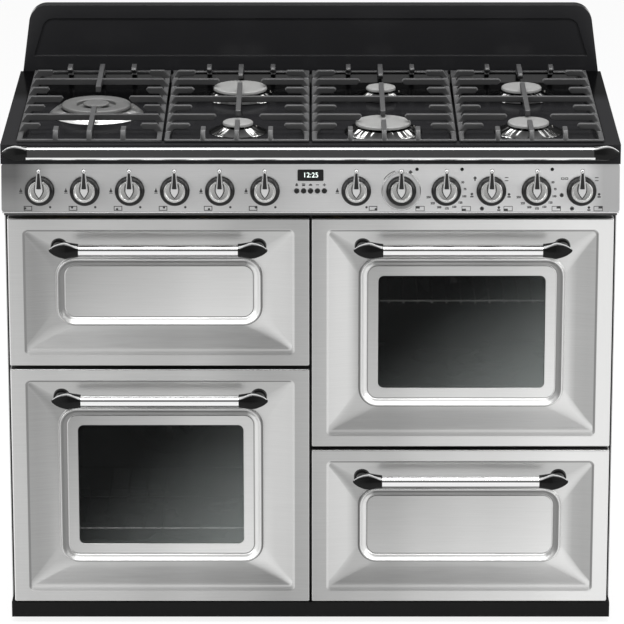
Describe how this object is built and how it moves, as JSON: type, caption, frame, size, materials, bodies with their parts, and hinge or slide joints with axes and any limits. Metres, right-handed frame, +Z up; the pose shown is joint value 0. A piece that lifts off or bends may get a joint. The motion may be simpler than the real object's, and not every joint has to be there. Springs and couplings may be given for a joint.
{
  "type": "range cooker",
  "caption": "Free-standing wide range cooker with a gas hob and pan supports, knob panel, drop-down oven and grill doors, storage drawer and splashback.",
  "frame": {"origin": "middle of the bounding box, on the floor under the feet", "axes": "+X to the cooker's right as seen from the front, +Y to the back, +Z up"},
  "size_m": [1.1, 0.6213, 1.033],
  "materials": {
    "stainless_steel": "brushed",
    "black_enamel": "gloss enamel",
    "black_paint": "satin",
    "grey_enamel": "gloss enamel",
    "grey_sheet": "galvanised",
    "chrome": "polished",
    "cast_iron": "matt enamel",
    "burner_alloy": "satin",
    "burner_cap": "satin",
    "black_plastic": "matt",
    "tinted_glass": "gloss",
    "seal_rubber": "matt",
    "element_metal": "satin",
    "brass_pipe": "satin",
    "ceramic_white": "gloss"
  },
  "bodies": {
    "cabinet": {"control_panel": "stainless_steel", "side_panels": "stainless_steel", "hob_tray": "black_enamel", "splashback": "black_enamel", "plinth": "black_paint", "grill_liner": "grey_enamel", "oven_liners": "grey_enamel", "fan_covers": "grey_enamel", "chassis": "grey_sheet", "rear_panel": "grey_sheet", "drawer_runners": "grey_sheet", "worktop_rail": "chrome", "oven_shelves": "chrome", "burner_bodies": "burner_alloy", "burner_caps": "burner_cap", "levelling_feet": "black_plastic", "control_switches": "black_plastic", "panel_lenses": "tinted_glass", "door_seals": "seal_rubber", "heating_elements": "element_metal", "fan_motors": "element_metal", "gas_train": "brass_pipe", "ignition_electrodes": "ceramic_white"},
    "grill_door": {"grill_door_skin": "stainless_steel", "grill_door_liner": "grey_sheet", "grill_door_handle": "chrome"},
    "left_oven_door": {"left_oven_door_skin": "stainless_steel", "left_oven_door_liner": "grey_sheet", "left_oven_door_handle": "chrome", "left_oven_door_glass": "tinted_glass"},
    "right_oven_door": {"right_oven_door_skin": "stainless_steel", "right_oven_door_liner": "grey_sheet", "right_oven_door_handle": "chrome", "right_oven_door_glass": "tinted_glass"},
    "drawer": {"drawer_front": "stainless_steel", "drawer_tray": "grey_sheet", "drawer_handle": "chrome"},
    "gas_knob_1_body": {"gas_knob_1": "chrome"},
    "gas_knob_2_body": {"gas_knob_2": "chrome"},
    "gas_knob_3_body": {"gas_knob_3": "chrome"},
    "gas_knob_4_body": {"gas_knob_4": "chrome"},
    "gas_knob_5_body": {"gas_knob_5": "chrome"},
    "gas_knob_6_body": {"gas_knob_6": "chrome"},
    "gas_knob_7_body": {"gas_knob_7": "chrome"},
    "grill_knob_body": {"grill_knob": "chrome"},
    "left_oven_thermostat_knob_body": {"left_oven_thermostat_knob": "chrome"},
    "left_oven_function_knob_body": {"left_oven_function_knob": "chrome"},
    "right_oven_thermostat_knob_body": {"right_oven_thermostat_knob": "chrome"},
    "right_oven_function_knob_body": {"right_oven_function_knob": "chrome"},
    "clock_button_1_body": {"clock_button_1": "black_plastic"},
    "clock_button_2_body": {"clock_button_2": "black_plastic"},
    "clock_button_3_body": {"clock_button_3": "black_plastic"},
    "clock_button_4_body": {"clock_button_4": "black_plastic"},
    "clock_button_5_body": {"clock_button_5": "black_plastic"},
    "pan_support_1_body": {"pan_support_1": "cast_iron"},
    "pan_support_2_body": {"pan_support_2": "cast_iron"},
    "pan_support_3_body": {"pan_support_3": "cast_iron"},
    "pan_support_4_body": {"pan_support_4": "cast_iron"},
    "left_oven_fan_body": {"left_oven_fan": "burner_alloy"},
    "right_oven_fan_body": {"right_oven_fan": "burner_alloy"}
  },
  "joints": [
    {"name": "grill_door_hinge", "type": "hinge", "parent": "cabinet", "child": "grill_door", "pos_m": [-0.2715, -0.265, 0.506], "axis": [1, 0, 0], "range_deg": [0, 90]},
    {"name": "left_oven_door_hinge", "type": "hinge", "parent": "cabinet", "child": "left_oven_door", "pos_m": [-0.2715, -0.265, 0.0545], "axis": [1, 0, 0], "range_deg": [0, 90]},
    {"name": "right_oven_door_hinge", "type": "hinge", "parent": "cabinet", "child": "right_oven_door", "pos_m": [0.2715, -0.265, 0.3528], "axis": [1, 0, 0], "range_deg": [0, 90]},
    {"name": "drawer_slide", "type": "slide", "parent": "cabinet", "child": "drawer", "axis": [0, -1, 0], "range_m": [0, 0.3]},
    {"name": "gas_knob_1_turn", "type": "hinge", "parent": "cabinet", "child": "gas_knob_1_body", "pos_m": [-0.481, -0.28047, 0.8216], "axis": [0, -0.9848, 0.1736], "range_deg": [0, 210]},
    {"name": "gas_knob_2_turn", "type": "hinge", "parent": "cabinet", "child": "gas_knob_2_body", "pos_m": [-0.401, -0.28047, 0.8216], "axis": [0, -0.9848, 0.1736], "range_deg": [0, 210]},
    {"name": "gas_knob_3_turn", "type": "hinge", "parent": "cabinet", "child": "gas_knob_3_body", "pos_m": [-0.321, -0.28047, 0.8216], "axis": [0, -0.9848, 0.1736], "range_deg": [0, 210]},
    {"name": "gas_knob_4_turn", "type": "hinge", "parent": "cabinet", "child": "gas_knob_4_body", "pos_m": [-0.241, -0.28047, 0.8216], "axis": [0, -0.9848, 0.1736], "range_deg": [0, 210]},
    {"name": "gas_knob_5_turn", "type": "hinge", "parent": "cabinet", "child": "gas_knob_5_body", "pos_m": [-0.161, -0.28047, 0.8216], "axis": [0, -0.9848, 0.1736], "range_deg": [0, 210]},
    {"name": "gas_knob_6_turn", "type": "hinge", "parent": "cabinet", "child": "gas_knob_6_body", "pos_m": [-0.081, -0.28047, 0.8216], "axis": [0, -0.9848, 0.1736], "range_deg": [0, 210]},
    {"name": "gas_knob_7_turn", "type": "hinge", "parent": "cabinet", "child": "gas_knob_7_body", "pos_m": [0.081, -0.28047, 0.8216], "axis": [0, -0.9848, 0.1736], "range_deg": [0, 210]},
    {"name": "grill_knob_turn", "type": "hinge", "parent": "cabinet", "child": "grill_knob_body", "pos_m": [0.161, -0.28047, 0.8216], "axis": [0, -0.9848, 0.1736], "range_deg": [-270, 0]},
    {"name": "left_oven_thermostat_knob_turn", "type": "hinge", "parent": "cabinet", "child": "left_oven_thermostat_knob_body", "pos_m": [0.241, -0.28047, 0.8216], "axis": [0, -0.9848, 0.1736], "range_deg": [-260, 0]},
    {"name": "left_oven_function_knob_turn", "type": "hinge", "parent": "cabinet", "child": "left_oven_function_knob_body", "pos_m": [0.321, -0.28047, 0.8216], "axis": [0, -0.9848, 0.1736], "continuous": true},
    {"name": "right_oven_thermostat_knob_turn", "type": "hinge", "parent": "cabinet", "child": "right_oven_thermostat_knob_body", "pos_m": [0.401, -0.28047, 0.8216], "axis": [0, -0.9848, 0.1736], "range_deg": [-260, 0]},
    {"name": "right_oven_function_knob_turn", "type": "hinge", "parent": "cabinet", "child": "right_oven_function_knob_body", "pos_m": [0.481, -0.28047, 0.8216], "axis": [0, -0.9848, 0.1736], "continuous": true},
    {"name": "clock_button_1_press", "type": "slide", "parent": "cabinet", "child": "clock_button_1_body", "axis": [0, 0.9848, -0.1736], "range_m": [0, 0.0015], "stiffness_N_per_m": 400, "springref_m": -0.0005},
    {"name": "clock_button_2_press", "type": "slide", "parent": "cabinet", "child": "clock_button_2_body", "axis": [0, 0.9848, -0.1736], "range_m": [0, 0.0015], "stiffness_N_per_m": 400, "springref_m": -0.0005},
    {"name": "clock_button_3_press", "type": "slide", "parent": "cabinet", "child": "clock_button_3_body", "axis": [0, 0.9848, -0.1736], "range_m": [0, 0.0015], "stiffness_N_per_m": 400, "springref_m": -0.0005},
    {"name": "clock_button_4_press", "type": "slide", "parent": "cabinet", "child": "clock_button_4_body", "axis": [0, 0.9848, -0.1736], "range_m": [0, 0.0015], "stiffness_N_per_m": 400, "springref_m": -0.0005},
    {"name": "clock_button_5_press", "type": "slide", "parent": "cabinet", "child": "clock_button_5_body", "axis": [0, 0.9848, -0.1736], "range_m": [0, 0.0015], "stiffness_N_per_m": 400, "springref_m": -0.0005},
    {"name": "pan_support_1_lift", "type": "slide", "parent": "cabinet", "child": "pan_support_1_body", "axis": [0, 0, 1], "range_m": [0, 0.1]},
    {"name": "pan_support_2_lift", "type": "slide", "parent": "cabinet", "child": "pan_support_2_body", "axis": [0, 0, 1], "range_m": [0, 0.1]},
    {"name": "pan_support_3_lift", "type": "slide", "parent": "cabinet", "child": "pan_support_3_body", "axis": [0, 0, 1], "range_m": [0, 0.1]},
    {"name": "pan_support_4_lift", "type": "slide", "parent": "cabinet", "child": "pan_support_4_body", "axis": [0, 0, 1], "range_m": [0, 0.1]},
    {"name": "left_oven_fan_spin", "type": "hinge", "parent": "cabinet", "child": "left_oven_fan_body", "pos_m": [-0.2715, 0.191, 0.2615], "axis": [0, 1, 0], "continuous": true},
    {"name": "right_oven_fan_spin", "type": "hinge", "parent": "cabinet", "child": "right_oven_fan_body", "pos_m": [0.2715, 0.191, 0.5598], "axis": [0, 1, 0], "continuous": true}
  ]
}
